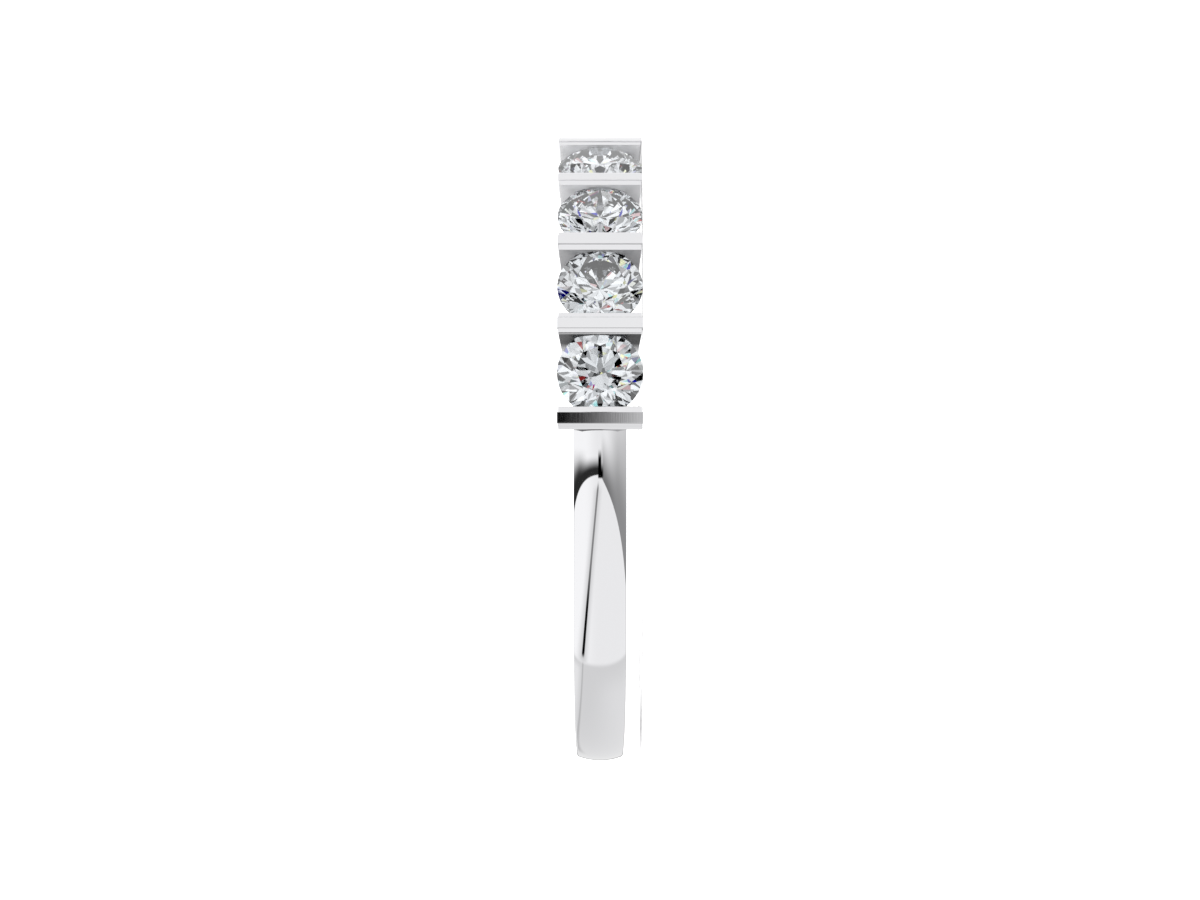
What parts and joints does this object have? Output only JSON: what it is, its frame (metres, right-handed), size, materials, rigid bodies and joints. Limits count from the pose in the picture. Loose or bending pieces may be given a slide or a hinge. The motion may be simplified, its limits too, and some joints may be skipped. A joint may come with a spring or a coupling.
{
  "type": "bar set band ring",
  "caption": "Slim polished white metal finger ring with round brilliant stones held edge to edge between upright bars across its top.",
  "frame": {"origin": "centre of the finger hole, at the middle of the band's width", "axes": "+Z along the finger hole, +Y towards the middle bar; the ring lies on its side with Z upright"},
  "size_m": [0.0202, 0.0205, 0.0026],
  "materials": {
    "white_metal": "mirror polished white gold",
    "stone": "faceted colourless brilliant"
  },
  "bodies": {
    "root": {"bar_band": "white_metal", "stone_1": "stone", "stone_2": "stone", "stone_3": "stone", "stone_4": "stone"}
  },
  "joints": []
}
